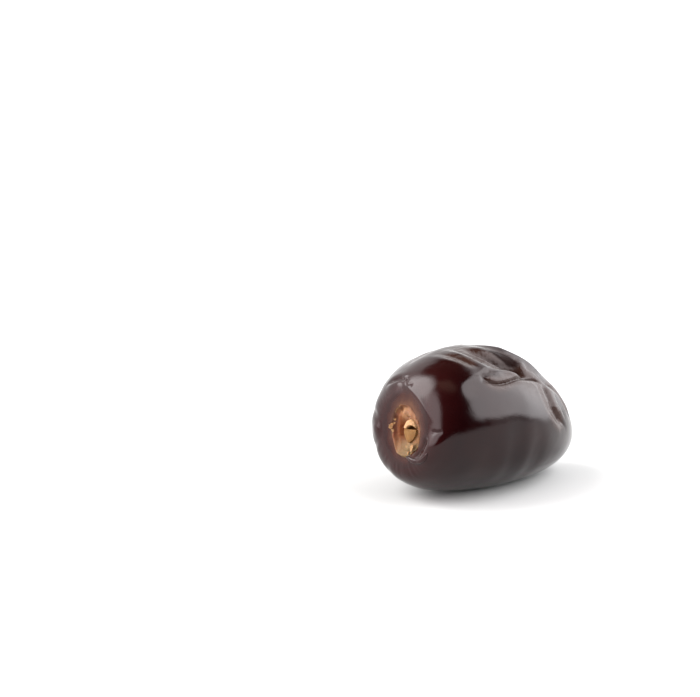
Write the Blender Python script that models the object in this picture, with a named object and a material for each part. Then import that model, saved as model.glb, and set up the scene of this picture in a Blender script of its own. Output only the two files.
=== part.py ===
"""A mazafati date lying on its side, with the dry remnant of its calyx in the stem end.

Metres. +X runs from the stem end to the tip and +Z is up. The origin is on the ground,
under the middle of the fruit. Sizes below are in millimetres and degrees, because the
folds are small, and to_world() turns them into metres.

A place on the skin is given as (arc, angle): arc is the way along the skin from the middle
of the stem end, and angle goes round the long axis, 0 on top and 90 facing -Y.
"""

import math
from dataclasses import dataclass

import bpy
import numpy as np

# Driving sizes of the fruit, millimetres.
LENGTH = 36.3
GIRTH = 23.6
HEIGHT_TO_WIDTH = 0.962
STEM_HALF = 16.1
STEM_BLUNT = 2.68
TIP_TAPER = 1.68
STEM_DROP = 1.9
TIP_DROP = 3.7
STEM_SIDE = 0.45
TIP_SIDE = 1.4
DISH_RADIUS = 6.0
DISH_DEPTH = 1.9
DISH_FLATNESS = 2.8
TIP_NUB_RADIUS = 0.9
TIP_NUB_HEIGHT = 0.45
PITCH = 7.6

# The underside is flattened by REST_SINK and rests on three low points, (x, y) from its middle.
REST_SINK = 0.5
REST_POINTS = ((-5.0, -2.2), (-5.0, 2.0), (4.5, 0.0))
REST_POINT_RADIUS = 1.3
REST_LIFT = 0.25
REST_LIFT_HEIGHT = 2.5

# Driving sizes of the calyx remnant, millimetres. It sits in a seat in the dish.
SEAT_RADIUS = 4.3
SEAT_DEPTH = 0.55
SEAT_SIDE = 0.5
GAP = 0.3
RING_WIDE = 3.2
RING_TALL = 3.9
RING_SIDE = 0.65
RING_THICK = 0.42
PLUG_WIDE = 1.35
PLUG_TALL = 1.75
PLUG_HEIGHT = 1.1
PLUG_SIDE = 1.7
PLUG_FOOT = 1.12
SLOT_LENGTH = 0.95
SLOT_WIDTH = 0.36
SLOT_DEPTH = 0.6
SLOT_SIDE = 0.2
SLOT_UP = 0.35
SLOT_TURN = 8.0

# Grid of the skin, closer where the folds are. It is thinned out to about SKIN_TRIANGLES.
ROWS = 130
COLUMNS = 290
FOLD_SIDE = 52.0
FOLD_CROWDING = 0.3
SKIN_TRIANGLES = 11400

# Grid of the remnant: shares of the plug's half width, then of the way to the ring's edge.
RING_COLUMNS = 56
PLUG_ROWS = (0.18, 0.36, 0.54, 0.7, 0.83, 0.93, 1.0)
RING_ROWS = (0.0, 0.1, 0.24, 0.4, 0.56, 0.72, 0.88, 1.0)
UNDER_ROWS = (0.85, 0.55, 0.25)


@dataclass(frozen=True)
class Fold:
    """A crease or a ridge along a path on the skin."""

    path: tuple
    depth: float
    width: float
    lip_over: float = 0.0
    lip_under: float = 0.0
    lip_width: float = 1.0
    ends: float = 0.18


@dataclass(frozen=True)
class Hollow:
    """An oval dent, or an oval swelling where the depth is negative."""

    arc: float
    angle: float
    length: float
    width: float
    turn: float
    depth: float


FOLDS = (
    # The long crease under the sunken top, and the branches it splits into at the tip.
    Fold(
        (
            (16.4, 41), (17.1, 46.5), (18.7, 50.5), (20.9, 49.8), (23.2, 47),
            (25.4, 44.5), (27.6, 42.2), (29.6, 42.5), (31.6, 45),
        ),
        0.66, 0.4, lip_over=0.16, lip_under=0.06, lip_width=1.2,
    ),
    Fold(((28.6, 44), (28.8, 54), (29, 62), (30, 72), (32, 81), (34.5, 87)), 0.28, 0.5, 0.0, 0.04, 0.8, 0.25),
    Fold(
        ((31.2, 43), (30.9, 50), (30.9, 59), (31.3, 69), (32.8, 77), (35.8, 86)),
        0.65, 0.5, lip_over=0.2, lip_under=0.0, lip_width=1.2, ends=0.25,
    ),
    Fold(((30, 43), (32.6, 41), (35.2, 42.5), (36.6, 52), (37.5, 61), (38.5, 70)), 0.4, 0.4, 0.14, 0.1, 1.0, 0.3),
    # The wrinkled top: its raised edge, then grooves and ridges, and the deep pocket under its rim.
    Fold(((12.4, -16), (13, -3), (13.7, 9), (14.6, 21), (15.5, 32), (16.2, 40)), -0.2, 1.2, ends=0.35),
    Fold(((14.0, -6), (14.8, 7), (15.5, 18), (16.4, 28), (17.4, 36)), 0.2, 0.6, 0.0, 0.0, 1.0, 0.35),
    Fold(((15.8, -8), (16.2, 4), (16.8, 16), (17.6, 27), (18.4, 35), (18.6, 42)), -0.34, 1.2, ends=0.3),
    Fold(((18.0, 10), (18.8, 18), (20.2, 27), (22.2, 34.5), (24.6, 39)), 0.3, 0.5, 0.14, 0.0, 1.0, 0.35),
    Fold(
        ((18.4, 3), (20.4, 11.5), (21.8, 19), (23.2, 26), (25.1, 32), (27.2, 36), (28.6, 38)),
        0.5, 0.8, lip_over=0.6, lip_under=0.0, lip_width=1.3, ends=0.2,
    ),
    Fold(((18.8, 42.5), (19.8, 40), (21.6, 40), (24, 42), (26.2, 42)), -0.3, 0.8, ends=0.35),
    Fold(
        (
            (21.0, -5), (23.7, 1), (25.4, 7), (26.6, 12),
            (28.0, 17), (29.9, 23), (32.0, 28), (34.0, 33),
        ),
        -0.8, 1.0, ends=0.35,
    ),
    # Folds of the back, drawn together towards the tip.
    Fold(
        ((10, -25), (13.5, -20), (17.5, -19), (22, -14), (26.5, -11), (31, -15), (35, -21)),
        0.6, 0.8, lip_over=0.2, lip_under=0.16, lip_width=1.7, ends=0.4,
    ),
    Fold(((21.5, -15), (25, -21), (28.5, -23), (32, -22)), 0.3, 0.55, 0.1, 0.06, 1.1, 0.45),
    Fold(((12, -54), (16, -49), (20.5, -50), (25, -44), (30, -46), (34.5, -53)), 0.55, 0.8, 0.18, 0.14, 1.7, 0.42),
    Fold(((17, -78), (21, -80), (25, -75), (29, -72), (34, -78)), 0.45, 0.8, 0.14, 0.12, 1.6, 0.45),
    Fold(((12, -98), (15.5, -102), (20, -98), (24.5, -104), (29, -112)), 0.45, 0.8, 0.15, 0.15, 1.7, 0.45),
    Fold(((26, -38), (29, -32), (32.5, -33), (36, -29), (38.5, -32)), 0.4, 0.6, 0.12, 0.1, 1.3, 0.4),
    Fold(((21, -128), (25, -133), (29.5, -127), (33.5, -131), (37, -126)), 0.4, 0.75, 0.14, 0.14, 1.6, 0.45),
    Fold(((33, -95), (36, -100), (38.5, -96)), 0.25, 0.5, 0.08, 0.06, 1.0, 0.45),
    # The shoulder of the stem end and the lip of skin beside the scar.
    Fold(((7.9, -16), (6.9, 0), (6.4, 18), (6.2, 36), (6.3, 54), (6.5, 72)), -0.26, 0.6, ends=0.3),
    Fold(((8.4, -48), (8.3, -34), (8.2, -20), (7.6, -8)), 0.3, 0.4, 0.1, 0.1, 0.7, 0.35),
    Fold(((6.3, 80), (7.2, 82), (8.3, 82)), 0.16, 0.32, 0.0, 0.0, 1.0, 0.3),
    Fold(((5.5, 86), (5.4, 100), (5.2, 114), (5.0, 128), (4.9, 140)), 0.4, 0.4, ends=0.25),
    Fold(((5.6, -118), (8, -122), (11, -124)), 0.14, 0.9, 0.04, 0.04, 1.4, 0.45),
    Fold(((5.6, -152), (8, -156), (11, -158)), 0.12, 0.9, 0.04, 0.04, 1.4, 0.45),
    Fold(((5.4, -78), (7.6, -80), (10, -84)), 0.2, 0.7, 0.06, 0.06, 1.2, 0.45),
)

HOLLOWS = (
    # The sunken top and the flat places of the back.
    Hollow(23.5, 29, 9.5, 4.8, -28, 0.75),
    Hollow(24.2, 28.5, 3.6, 1.7, -32, 1.2),
    Hollow(25.8, 31, 1.7, 1.5, -32, 0.7),
    Hollow(23.5, 8, 7.0, 4.0, -20, 0.25),
    Hollow(14.2, 50, 1.6, 1.1, 30, 0.12),
    Hollow(19, -32, 6.5, 2.6, 8, 0.45),
    Hollow(27.5, -58, 4.6, 2.2, -12, 0.4),
    Hollow(14.5, -76, 5.0, 2.6, 4, 0.35),
    Hollow(25, -92, 5.2, 2.4, 10, 0.4),
    Hollow(33, -8, 3.4, 2.2, 0, 0.35),
    Hollow(20, -118, 5.6, 2.6, -6, 0.35),
    Hollow(32, -108, 3.4, 2.0, 0, 0.3),
    # The swollen lip of skin beside the scar, and a small one across from it.
    Hollow(7.0, 108, 1.5, 3.0, -10, -0.55),
    Hollow(5.9, -101, 1.2, 1.0, 0, -0.22),
    # The full lower flank towards the tip, with soft waves.
    Hollow(28.5, 110, 9.0, 5.5, -4, -0.55),
    Hollow(22.0, 108, 2.0, 5.2, 10, 0.2),
    Hollow(26.5, 112, 1.8, 4.6, 6, 0.18),
    Hollow(17.0, 118, 2.6, 4.0, 12, 0.14),
)


def meridian():
    """The outline from stem end to tip as (x, radius, arc), close together."""
    turn = np.linspace(0, math.pi, 4001)
    stem = turn < math.pi / 2
    power = np.where(stem, 2 / STEM_BLUNT, 2 / TIP_TAPER)
    half = np.where(stem, STEM_HALF, LENGTH - STEM_HALF)
    x = -np.sign(np.cos(turn)) * half * np.abs(np.cos(turn)) ** power
    radius = 0.5 * GIRTH * np.sin(turn) ** power
    x = x + stem * DISH_DEPTH * np.exp(-((radius / DISH_RADIUS) ** DISH_FLATNESS))
    x = x + ~stem * TIP_NUB_HEIGHT * np.exp(-((radius / TIP_NUB_RADIUS) ** 2))
    arc = np.concatenate([[0], np.cumsum(np.hypot(np.diff(x), np.diff(radius)))])
    return x, radius, arc


def base_skin(arc, angle):
    """The plain swelling shape without folds, before the pitch: arrays of x, y, z in mm."""
    x_line, radius_line, arc_line = meridian()
    x = np.interp(arc, arc_line, x_line)
    radius = np.interp(arc, arc_line, radius_line)
    toward_stem = np.clip(-x / STEM_HALF, 0, None) ** 2
    toward_tip = np.clip(x / (LENGTH - STEM_HALF), 0, None) ** 2
    y = -radius * np.sin(angle) - STEM_SIDE * toward_stem - TIP_SIDE * toward_tip
    z = radius * np.cos(angle) * HEIGHT_TO_WIDTH - STEM_DROP * toward_stem - TIP_DROP * toward_tip
    return np.stack([x, y, z], -1)


def outward(arc, angle):
    """Unit normals of the plain shape."""
    step = 0.02
    last = meridian()[2][-1]
    along = base_skin(np.minimum(arc + step, last), angle) - base_skin(np.maximum(arc - step, 0), angle)
    around = base_skin(arc, angle + step) - base_skin(arc, angle - step)
    normal = np.cross(around, along)
    size = np.linalg.norm(normal, axis=-1, keepdims=True)
    normal = normal / np.maximum(size, 1e-9)
    ends = (arc < 0.05) | (arc > last - 0.05)
    normal[ends] = np.stack([np.sign(arc[ends] - 1), 0 * arc[ends], 0 * arc[ends]], -1)
    return normal


def smooth_path(points, count):
    """Catmull-Rom curve through (arc, angle) points, evenly spread over them."""
    p = np.array(points, float)
    p = np.vstack([2 * p[0] - p[1], p, 2 * p[-1] - p[-2]])
    t = np.linspace(0, len(points) - 1.000001, count)
    i = t.astype(int)
    f = (t - i)[:, None]
    a, b, c, d = p[i], p[i + 1], p[i + 2], p[i + 3]
    return 0.5 * (2 * b + (c - a) * f + (2 * a - 5 * b + 4 * c - d) * f**2 + (3 * b - a - 3 * c + d) * f**3)


def bump(q):
    """A rounded hill of height 1 at 0."""
    return np.exp(-(q**2))


def fold_height(fold, points, near_count=80):
    """How far the fold moves the skin out at the given base points, in mm."""
    path = smooth_path(fold.path, near_count)
    arc, angle = path[:, 0], np.radians(path[:, 1])
    line = base_skin(arc, angle)
    side = np.cross(outward(arc, angle), np.gradient(line, axis=0))
    side /= np.linalg.norm(side, axis=1, keepdims=True)
    height = np.zeros(len(points))
    reach = 4 * max(fold.width, fold.lip_width)
    middle = line.mean(axis=0)
    radius = np.linalg.norm(line - middle, axis=1).max() + reach
    near = np.flatnonzero(np.linalg.norm(points - middle, axis=1) < radius)
    apart = np.linalg.norm(points[near, None] - line[None], axis=2)
    nearest = apart.argmin(axis=1)
    away = points[near] - line[nearest]
    distance = apart[np.arange(len(near)), nearest]
    signed = np.sign((away * side[nearest]).sum(axis=1)) * distance
    t = nearest / (near_count - 1)
    fade = np.clip(np.minimum(t, 1 - t) / fold.ends, 0, 1)
    fade = fade * fade * (3 - 2 * fade)
    valley = -fold.depth * np.exp(-((np.abs(signed) / fold.width) ** 1.4))
    over = fold.lip_over * bump((signed - fold.lip_width) / fold.lip_width)
    under = fold.lip_under * bump((signed + fold.lip_width) / fold.lip_width)
    height[near] = fade * (valley + over + under)
    return height


def hollow_height(hollow, points):
    """How far the oval moves the skin out at the given base points, in mm."""
    arc, angle = np.array([hollow.arc]), np.array([math.radians(hollow.angle)])
    centre = base_skin(arc, angle)[0]
    normal = outward(arc, angle)[0]
    along = np.array([1.0, 0.0, 0.0])
    along -= normal * (along @ normal)
    along /= np.linalg.norm(along)
    across = np.cross(normal, along)
    away = points - centre
    turn = math.radians(hollow.turn)
    p = away @ (along * math.cos(turn) + across * math.sin(turn)) / hollow.length
    q = away @ (across * math.cos(turn) - along * math.sin(turn)) / hollow.width
    through = (away @ normal) / GIRTH
    return -hollow.depth * np.exp(-((p**2 + q**2) ** 1.3)) * (through > -0.5)


def skin_height(points, arc):
    """All folds and hollows together, fading out under the remnant."""
    height = np.zeros(len(points))
    for fold in FOLDS:
        height += fold_height(fold, points)
    for hollow in HOLLOWS:
        height += hollow_height(hollow, points)
    clear = np.clip((arc - 4.6) / 0.8, 0, 1)
    return height * clear


def seat_depth(side, up):
    """Depth of the shallow seat under the remnant, in mm; side is toward -Y from the stem pole."""
    away = np.hypot(side - SEAT_SIDE, up)
    return SEAT_DEPTH * np.clip((SEAT_RADIUS - away) / 0.7, 0, 1)


def stem_pole():
    """Middle of the dish before the pitch."""
    return base_skin(np.array([0.0]), np.array([0.0]))[0]


def skin_points(arc, angle):
    """Finished skin before the pitch, in mm."""
    points = base_skin(arc, angle)
    moved = points + outward(arc, angle) * skin_height(points, arc)[:, None]
    pole = stem_pole()
    stem = points[:, 0] < 0
    moved[:, 0] += stem * seat_depth(pole[1] - points[:, 1], points[:, 2] - pole[2])
    return moved


def pitched(points):
    """Turns the fruit about Y, so that the tip comes down."""
    turn = math.radians(PITCH)
    x = points[:, 0] * math.cos(turn) + points[:, 2] * math.sin(turn)
    z = points[:, 2] * math.cos(turn) - points[:, 0] * math.sin(turn)
    return np.stack([x, points[:, 1], z], -1)


def grid_angles():
    """Angles of the grid's columns, crowded toward the folded side."""
    even = np.linspace(0, 2 * math.pi, COLUMNS, endpoint=False)
    middle = math.radians(FOLD_SIDE)
    return middle + even - FOLD_CROWDING * np.sin(even)


def grid_arcs():
    """Arcs of the grid's rows between the two poles, closer together at both ends."""
    last = meridian()[2][-1]
    even = np.linspace(0, 1, ROWS + 2)[1:-1]
    return last * (even - 0.22 * np.sin(2 * math.pi * even) / (2 * math.pi))


def closed_faces(rows, columns):
    """Quads of a grid that closes round, with a triangle fan to a pole at each end."""
    faces = []
    for column in range(columns):
        beside = (column + 1) % columns
        faces.append((0, 1 + beside, 1 + column))
        for row in range(rows - 1):
            start = 1 + row * columns
            faces.append((start + column, start + beside, start + columns + beside, start + columns + column))
        last = 1 + (rows - 1) * columns
        faces.append((last + column, last + beside, 1 + rows * columns))
    return faces


def make_object(name, points, faces, material):
    """One closed, smoothly shaded mesh object from points in metres."""
    mesh = bpy.data.meshes.new(name)
    mesh.from_pydata([tuple(point) for point in points], [], faces)
    mesh.shade_smooth()
    mesh.materials.append(material)
    piece = bpy.data.objects.new(name, mesh)
    bpy.context.scene.collection.objects.link(piece)
    return piece


def thin_out(piece, triangles):
    """Keeps about this many triangles, and keeps them where the skin is folded."""
    fewer = piece.modifiers.new("fewer_triangles", "DECIMATE")
    fewer.ratio = triangles / (2 * len(piece.data.polygons))
    fewer.use_collapse_triangulate = True


def make_material(name, colour, roughness):
    """A Principled BSDF with one colour; colour is linear RGB."""
    material = bpy.data.materials.new(name)
    material.use_nodes = True
    shader = material.node_tree.nodes["Principled BSDF"]
    shader.inputs["Base Color"].default_value = (*colour, 1.0)
    shader.inputs["Roughness"].default_value = roughness
    shader.inputs["Metallic"].default_value = 0.0
    return material


def fruit_points():
    """Skin points in the order of closed_faces, before the pitch."""
    arcs, angles = grid_arcs(), grid_angles()
    arc = np.repeat(arcs, len(angles))
    angle = np.tile(angles, len(arcs))
    last = meridian()[2][-1]
    arc = np.concatenate([[0.0], arc, [last]])
    angle = np.concatenate([[0.0], angle, [0.0]])
    return skin_points(arc, angle)


def dish_height(side, up):
    """Height of the seat's floor over the middle of the dish, outward along -X, in mm."""
    away = np.hypot(side, up / HEIGHT_TO_WIDTH)
    flat = (1 - (2 * away / GIRTH) ** STEM_BLUNT) ** (1 / STEM_BLUNT)
    dish = DISH_DEPTH * np.exp(-((away / DISH_RADIUS) ** DISH_FLATNESS))
    return STEM_HALF * flat - dish - (STEM_HALF - DISH_DEPTH)


def ring_edge(angle):
    """Share by which the ragged edge of the ring leaves its oval: worn lobes, with nicks between."""
    return 1 + 0.05 * np.cos(5 * angle + 0.6) + 0.022 * np.cos(9 * angle + 2.0) + 0.015 * np.cos(14 * angle)


def plug_top(side, up, angle, share):
    """Height of the fibrous plug's crown, with the hollow slot in it, in mm."""
    crown = PLUG_HEIGHT * (1 - 0.16 * share**2.5)
    fibres = 0.05 * np.cos(9 * angle + 0.8) * share
    turn = math.radians(SLOT_TURN)
    p, q = side - PLUG_SIDE - SLOT_SIDE, up - SLOT_UP
    along = (p * math.cos(turn) + q * math.sin(turn)) / SLOT_LENGTH
    across = (q * math.cos(turn) - p * math.sin(turn)) / SLOT_WIDTH
    return crown + fibres - SLOT_DEPTH * np.exp(-((along**2 + across**2) ** 1.5))


def ring_top(angle, reach):
    """Height of the ring over its floor; reach is 0 at the plug's foot and 1 at the ragged edge."""
    rumple = 0.11 * np.cos(7 * angle + 1.0) + 0.07 * np.cos(12 * angle - 0.5)
    crest = RING_THICK + rumple * np.sin(math.pi * reach)
    beside = np.clip(-np.sin(angle), 0, 1)
    trench = (RING_THICK - 0.18) * np.exp(-((reach / 0.45) ** 2)) * (0.35 + 0.65 * beside)
    return np.maximum(crest - trench - 0.22 * reach**3, 0.16)


def remnant_points():
    """Top and underside of the remnant in the order of closed_faces, before the pitch."""
    angle = np.linspace(0, 2 * math.pi, RING_COLUMNS, endpoint=False)
    edge_side = RING_SIDE + RING_WIDE * ring_edge(angle) * np.sin(angle)
    edge_up = RING_TALL * ring_edge(angle) * np.cos(angle)
    side, up, height = [[PLUG_SIDE]], [[0.0]], [plug_top(PLUG_SIDE, 0.0, 0.0, np.zeros(1))]
    for share in PLUG_ROWS:
        taper = 1 - 0.22 * np.clip(-np.cos(angle), 0, 1) ** 2
        side.append(PLUG_SIDE + share * taper * PLUG_WIDE * np.sin(angle))
        up.append(share * PLUG_TALL * np.cos(angle))
        height.append(plug_top(side[-1], up[-1], angle, share))
    foot_side = PLUG_SIDE + PLUG_FOOT * PLUG_WIDE * np.sin(angle)
    foot_up = PLUG_FOOT * PLUG_TALL * np.cos(angle)
    for reach in RING_ROWS:
        side.append(foot_side + (edge_side - foot_side) * reach)
        up.append(foot_up + (edge_up - foot_up) * reach)
        height.append(ring_top(angle, reach))
    for reach in UNDER_ROWS:
        side.append(RING_SIDE + (edge_side - RING_SIDE) * reach)
        up.append(edge_up * reach)
        height.append(np.zeros(RING_COLUMNS))
    side.append([RING_SIDE])
    up.append([0.0])
    height.append([0.0])
    side, up, height = np.concatenate(side), np.concatenate(up), np.concatenate(height)
    outer = dish_height(side, up) - seat_depth(side, up) + GAP + height
    return np.stack([-outer, -side, up], -1) + stem_pole()


def rest_lift(points):
    """How far the flattened underside stands clear of the ground round the three low points, in mm."""
    touch = np.zeros(len(points))
    for x, y in REST_POINTS:
        away = np.hypot(points[:, 0] - x, points[:, 1] - y) / REST_POINT_RADIUS
        touch = np.maximum(touch, np.clip(1 - away, 0, 1))
    fade = np.clip(1 - points[:, 2] / REST_LIFT_HEIGHT, 0, 1)
    return REST_LIFT * (1 - touch) * fade


def to_world(fruit, remnant):
    """Pitches both pieces, sets them on the ground, and turns mm into metres."""
    fruit, remnant = pitched(fruit), pitched(remnant)
    ground = fruit[:, 2].min() + REST_SINK
    centre = (np.min(fruit, axis=0) + np.max(fruit, axis=0)) / 2
    shift = np.array([centre[0], centre[1], ground])
    fruit, remnant = fruit - shift, remnant - shift
    fruit[:, 2] = np.maximum(fruit[:, 2], 0)
    for x, y in REST_POINTS:
        nearest = np.linalg.norm(fruit - (x, y, 0), axis=1).argmin()
        fruit[nearest] = (x, y, 0)
    fruit[:, 2] += rest_lift(fruit)
    return fruit * 0.001, remnant * 0.001


def clear_scene():
    """Removes whatever the startup scene holds."""
    for item in list(bpy.data.objects):
        bpy.data.objects.remove(item)


def main():
    clear_scene()
    fruit, remnant = to_world(fruit_points(), remnant_points())
    skin = make_material("date_skin", (0.020, 0.004, 0.004), 0.22)
    dry = make_material("dry_calyx", (0.42, 0.22, 0.085), 0.75)
    whole = make_object("fruit", fruit, closed_faces(ROWS, COLUMNS), skin)
    thin_out(whole, SKIN_TRIANGLES)
    rows = len(PLUG_ROWS) + len(RING_ROWS) + len(UNDER_ROWS)
    make_object("calyx_remnant", remnant, closed_faces(rows, RING_COLUMNS), dry)


main()
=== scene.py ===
"""A ripe mazafati date lying on its side on a pale floor: its dressed pieces, finishes, light and camera.

Sizes are millimetres and angles degrees, as on the drawing of the fruit, and Frame.settle turns
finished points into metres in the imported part's frame. A place on the skin is (arc, angle): arc is
the way along the skin from the middle of the stem end, and angle goes round the long axis, 0 on top
and 90 facing -Y. A place in the stem end is (side, up, height): side towards -Y, up, and the height
outwards over the middle of the dish.
"""

import logging
import math
from dataclasses import dataclass, field
from enum import Enum

import bpy
import numpy as np
from mathutils import Matrix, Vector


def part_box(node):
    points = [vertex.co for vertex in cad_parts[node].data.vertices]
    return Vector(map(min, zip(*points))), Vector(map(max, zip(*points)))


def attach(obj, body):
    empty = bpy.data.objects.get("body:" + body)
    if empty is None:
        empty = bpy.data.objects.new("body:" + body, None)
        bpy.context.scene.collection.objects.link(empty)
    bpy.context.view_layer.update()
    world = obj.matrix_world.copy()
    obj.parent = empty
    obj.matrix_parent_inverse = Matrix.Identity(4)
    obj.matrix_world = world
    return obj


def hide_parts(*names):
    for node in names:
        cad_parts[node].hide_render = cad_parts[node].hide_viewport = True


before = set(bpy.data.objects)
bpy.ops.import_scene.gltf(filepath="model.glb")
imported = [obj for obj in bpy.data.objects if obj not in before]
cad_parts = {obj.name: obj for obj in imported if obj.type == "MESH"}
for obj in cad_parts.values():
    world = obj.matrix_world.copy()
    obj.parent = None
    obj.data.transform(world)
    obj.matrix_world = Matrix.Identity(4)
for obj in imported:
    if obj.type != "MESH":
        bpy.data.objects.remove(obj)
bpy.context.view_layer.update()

LOG = logging.getLogger("mazafati_date")
MILLIMETRE = 0.001
PHOTO_WIDTH, PHOTO_HEIGHT = 700, 697

Array = np.ndarray
Tree = bpy.types.NodeTree
Socket = bpy.types.NodeSocket


class Slot(Enum):
    """Material slots of the record."""

    SKIN = "date_skin"
    CALYX = "dry_calyx"


class Node(Enum):
    """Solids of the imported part."""

    FRUIT = "fruit"
    REMNANT = "calyx_remnant"


def hill(q: Array) -> Array:
    """A rounded hill, exp(-q^2): 1 at q = 0, near 0 past q = 2."""
    return np.exp(-(q**2))


def ease(value: Array, low: float, high: float) -> Array:
    """Smooth step: 0 up to low, 1 from high on, 3t^2 - 2t^3 between.

    Args:
        value: numbers to test.
        low: where the step starts.
        high: where it ends; it may be less than low, and the step then falls.

    Returns:
        Array between 0 and 1.
    """
    t = np.clip((value - low) / (high - low), 0, 1)
    return t * t * (3 - 2 * t)


@dataclass(frozen=True)
class LatticeNoise:
    """Smooth random relief: seeded random numbers on a cubic lattice, eased between its points."""

    seed: int
    cells: int = 32

    def at(self, points: Array, spacing: float | tuple[float, float, float]) -> Array:
        """Noise between -1 and 1 at the points.

        Args:
            points: array (n, 3), any unit.
            spacing: distance between lattice points, one for all axes or one for each.

        Returns:
            Array (n,).
        """
        lattice = np.random.default_rng(self.seed).uniform(-1, 1, (self.cells,) * 3)
        place = points / np.asarray(spacing) + 0.37 * self.cells
        low = np.floor(place).astype(int)
        t = place - low
        t = t * t * (3 - 2 * t)
        total = np.zeros(len(points))
        for corner in np.ndindex(2, 2, 2):
            weight = np.prod(np.where(corner, t, 1 - t), axis=1)
            index = (low + corner) % self.cells
            total += weight * lattice[index[:, 0], index[:, 1], index[:, 2]]
        return total

    def layered(self, points: Array, spacing: float, octaves: int = 3) -> Array:
        """Sum of noises, each half as wide and half as high as the one before."""
        layers = [
            LatticeNoise(self.seed + 7 * k, self.cells).at(points, spacing / 2**k) / 2**k
            for k in range(octaves)
        ]
        return sum(layers)


@dataclass(frozen=True)
class Fold:
    """A crease (positive depth) or a ridge (negative depth) along a path on the skin.

    Attributes:
        path: (arc, angle) points that a smooth curve passes through.
        depth: depth of the valley at its middle.
        width: distance from the middle at which the valley has mostly risen.
        lip_over: height of the swelling on the side of smaller angles.
        lip_under: height of the swelling on the side of larger angles.
        lip_width: distance of the swellings from the middle, and their half width.
        ends: share of the path over which the fold fades in and out.
    """

    path: tuple[tuple[float, float], ...]
    depth: float
    width: float
    lip_over: float = 0.0
    lip_under: float = 0.0
    lip_width: float = 1.0
    ends: float = 0.18


@dataclass(frozen=True)
class Hollow:
    """An oval dent, or an oval swelling where the depth is negative.

    Attributes:
        arc: place of the middle along the skin.
        angle: place of the middle round the long axis.
        length: half length.
        width: half width.
        turn: how far the length is turned from the long axis.
        depth: depth in the middle.
    """

    arc: float
    angle: float
    length: float
    width: float
    turn: float
    depth: float


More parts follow.
